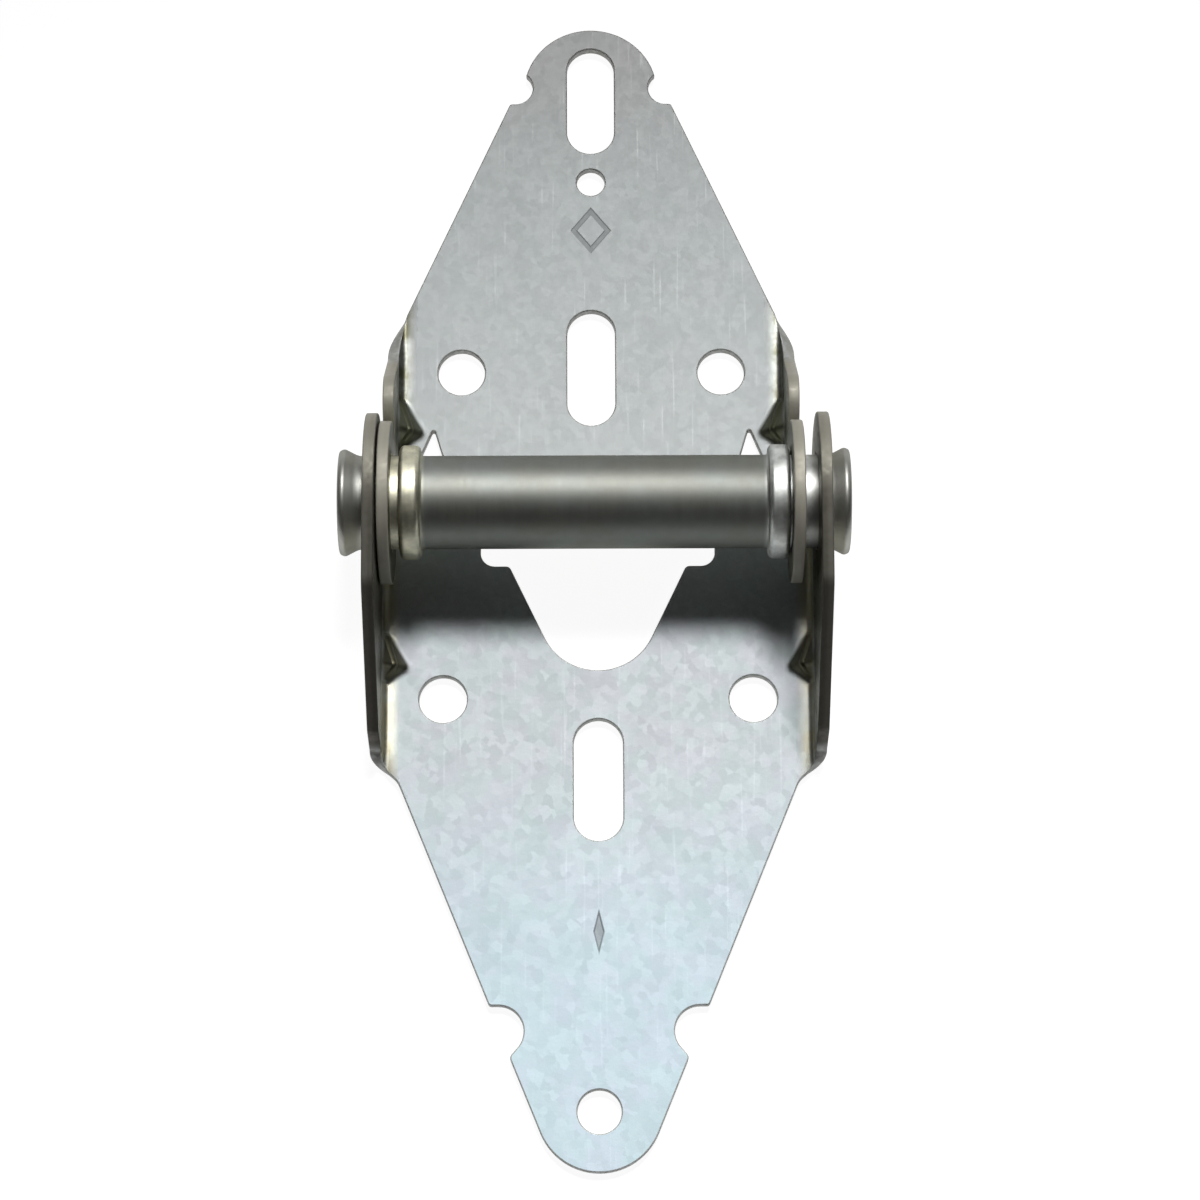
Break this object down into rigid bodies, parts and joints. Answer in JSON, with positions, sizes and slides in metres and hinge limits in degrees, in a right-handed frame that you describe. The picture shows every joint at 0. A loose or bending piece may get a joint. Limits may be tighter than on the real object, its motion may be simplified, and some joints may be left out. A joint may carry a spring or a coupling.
{
  "type": "garage door hinge",
  "caption": "Sectional door hinge of zinc-plated folded steel: tapering leaves with bolt holes and slots, joined by a flared roller tube through their bent-up ears.",
  "frame": {"origin": "on the back face, at the middle of the hinge's length and width; the tube's axis is 8.4 mm up the door from it and 17.5 mm out", "axes": "+X along the roller tube, +Y up the door towards the upper leaf's head, +Z out of the door's inside face"},
  "size_m": [0.0828, 0.1968, 0.0321],
  "materials": {
    "lower_zinc": "bright zinc plating with a faint spangle",
    "upper_zinc": "satin zinc plating, slightly greyer",
    "tube_zinc": "smooth zinc plating with a yellow-green passivated tint"
  },
  "bodies": {
    "lower_leaf": {"lower_leaf": "lower_zinc"},
    "upper_leaf": {"upper_leaf": "upper_zinc"},
    "roller_tube": {"roller_tube": "tube_zinc"}
  },
  "joints": [
    {"name": "leaf_fold", "type": "hinge", "parent": "lower_leaf", "child": "upper_leaf", "pos_m": [0, 0.0084, 0.0175], "axis": [1, 0, 0], "range_deg": [0, 180]},
    {"name": "tube_spin", "type": "hinge", "parent": "lower_leaf", "child": "roller_tube", "pos_m": [0, 0.0084, 0.0175], "axis": [1, 0, 0], "continuous": true}
  ]
}
